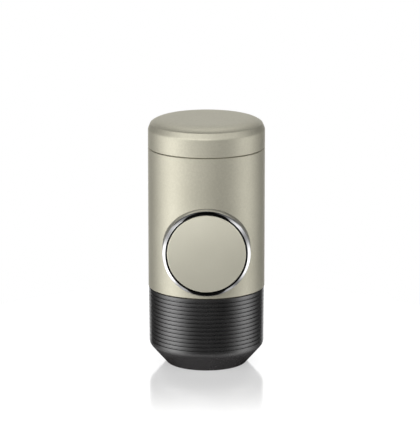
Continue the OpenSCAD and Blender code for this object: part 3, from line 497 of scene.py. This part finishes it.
def floor_material():
    """White glossy floor: it keeps the shadow, and mirrors the object close round its foot."""
    m, t, bsdf, co = new_material("floor_white")
    position = t.surface()["Position"]
    dist = t.from_origin(position, (1.0, 1.0, 0.0))
    path = t.add("ShaderNodeLightPath").outputs

    # Under the cone the floor is in the object's own shade, and the cone mirrors that
    near = t.ramp(t.from_origin(position, SHADE_STRETCH), *SHADE_REACH, SHADE_SHARE, 0.0)
    shade = t.times(path["Is Glossy Ray"], near)
    pale = t.mix_colour(t.noise(co, scale=6.0, detail=2.0, rough=0.5), FLOOR_DARK, FLOOR_LIGHT)
    t.link(t.mix_colour(shade, pale, FLOOR_SHADED), bsdf.inputs["Base Color"])
    bsdf.inputs["Roughness"].default_value = FLOOR_ROUGH
    bsdf.inputs["Specular IOR Level"].default_value = 0.0

    glossy = t.times(path["Is Glossy Ray"], t.minus(1.0, shade))
    sharp = t.math("MAXIMUM", glossy, path["Is Transmission Ray"])
    seen = t.math("MAXIMUM", path["Is Camera Ray"], sharp)
    glow = t.add("ShaderNodeEmission")
    glow.inputs["Color"].default_value = WHITE
    t.link(t.times(seen, FLOOR_GLOW), glow.inputs["Strength"])
    white = t.add("ShaderNodeAddShader")
    t.link(bsdf.outputs[0], white.inputs[0])
    t.link(glow.outputs[0], white.inputs[1])

    mirror = t.add("ShaderNodeBsdfGlossy")
    mirror.inputs["Roughness"].default_value = MIRROR_ROUGH
    mirror.inputs["Color"].default_value = WHITE
    reach = t.ramp(dist, *MIRROR_REACH, MIRROR_SHARE, 0.0)
    floor = t.mix_shader(reach, white.outputs[0], mirror.outputs[0])

    # What mirrors the floor away from the foot sees through it to the studio's lower half
    away = t.times(path["Is Glossy Ray"], t.ramp(dist, *CLEAR_REACH))
    clear = t.add("ShaderNodeBsdfTransparent")
    t.link(t.mix_shader(away, floor, clear.outputs[0]), t.output)
    return m


def make_floor():
    """A round floor under the object, which isn't part of it."""
    bm = bmesh.new()
    centre = bm.verts.new((0, 0, 0))
    turns = [2 * math.pi * i / FLOOR_SIDES for i in range(FLOOR_SIDES)]
    ring = [bm.verts.new((FLOOR_R * math.cos(a), FLOOR_R * math.sin(a), 0)) for a in turns]
    for a, b in zip(ring, ring[1:] + ring[:1]):
        bm.faces.new((centre, a, b))
    me = bpy.data.meshes.new("floor")
    bm.to_mesh(me)
    bm.free()
    o = bpy.data.objects.new("floor", me)
    bpy.context.collection.objects.link(o)
    o.location = (0, 0, -FLOOR_DROP)
    me.materials.append(floor_material())


make_floor()

# ---------------------------------------------------------------- studio
world = bpy.data.worlds.new("studio")
bpy.context.scene.world = world
world.use_nodes = True
w = Nodes(world.node_tree, "ShaderNodeOutputWorld")
way = w.split(w.add("ShaderNodeTexCoord").outputs["Generated"])
DEGREES = 180 / math.pi
# Azimuth 0 is in front of the object and + to its right as seen, elevation is above the floor.
# Both are in degrees.
az = w.times(w.math("ARCTAN2", way["X"], w.times(way["Y"], -1.0)), DEGREES)
el = w.times(w.math("ARCSINE", way["Z"]), DEGREES)
az_off = w.math("ABSOLUTE", az)

ROOF_EL = (62, 72)  # where the dark ceiling begins and is full
ROOF_AZ = (84, 120)  # where it ends to the sides
ROOF_DARK = 0.94  # the share of the light that it takes away
BEHIND_AZ = (150, 156)  # where the camera's background begins, seen from the object
BEHIND_EL = (17.5, 20.5)  # and where it ends upwards

FILL = 0.10  # light from every side
# Each lamp: azimuth or its amount, where in it the lamp is brightest and how wide it is there,
# the same two for elevation, and its strength
LAMPS = (
    (az, -72.0, 27.0, -15.0, 18.0, 3.25),
    (az, -61.0, 20.0, 28.0, 16.0, 1.3),
    (az, 60.0, 25.0, 30.0, 15.0, 1.85),
    (az, -21.0, 35.0, 19.0, 18.0, 3.35),
    (az, 20.0, 25.0, 25.0, 18.0, 0.7),
    (az, 84.0, 24.0, -18.0, 18.0, 2.2),
    (az_off, 180.0, 34.0, 58.0, 22.0, 2.1),
    (az, -97.0, 16.0, -42.0, 13.0, 2.6),
    (az, 97.0, 16.0, -38.0, 11.0, 1.0),
)


def squared(value, centre, width):
    """The square of how many widths the value is off the centre."""
    off = w.times(w.minus(value, centre), 1.0 / width)
    return w.times(off, off)


def soft_lamp(side, centre, width, high, spread, strength):
    """A lamp that fades softly in azimuth and elevation from its brightest point."""
    reach = w.plus(squared(side, centre, width), squared(el, high, spread))
    return w.times(w.math("EXPONENT", w.times(reach, -1.0)), strength)


light = FILL
for lamp in LAMPS:
    light = w.plus(soft_lamp(*lamp), light)
# The studio's ceiling is dark above the object and in front of it
roof = w.times(w.ramp(el, *ROOF_EL), w.ramp(az_off, *ROOF_AZ, ROOF_DARK, 0.0))
light = w.times(light, w.minus(1.0, roof))

# The camera sees white in every direction. What mirrors or refracts sees white where the camera's
# background is, behind the object, and the rest of the studio elsewhere.
path = w.add("ShaderNodeLightPath").outputs
behind = w.times(w.ramp(az_off, *BEHIND_AZ), w.ramp(el, *BEHIND_EL, 1.0, 0.0))
sharp = w.math("MAXIMUM", path["Is Glossy Ray"], path["Is Transmission Ray"])
shows = w.math("MAXIMUM", path["Is Camera Ray"], w.times(sharp, behind))
studio = w.add("ShaderNodeBackground")
w.link(light, studio.inputs["Strength"])
white = w.add("ShaderNodeBackground")
white.inputs["Color"].default_value = WHITE
white.inputs["Strength"].default_value = 1.0
w.link(w.mix_shader(shows, studio.outputs[0], white.outputs[0]), w.output)
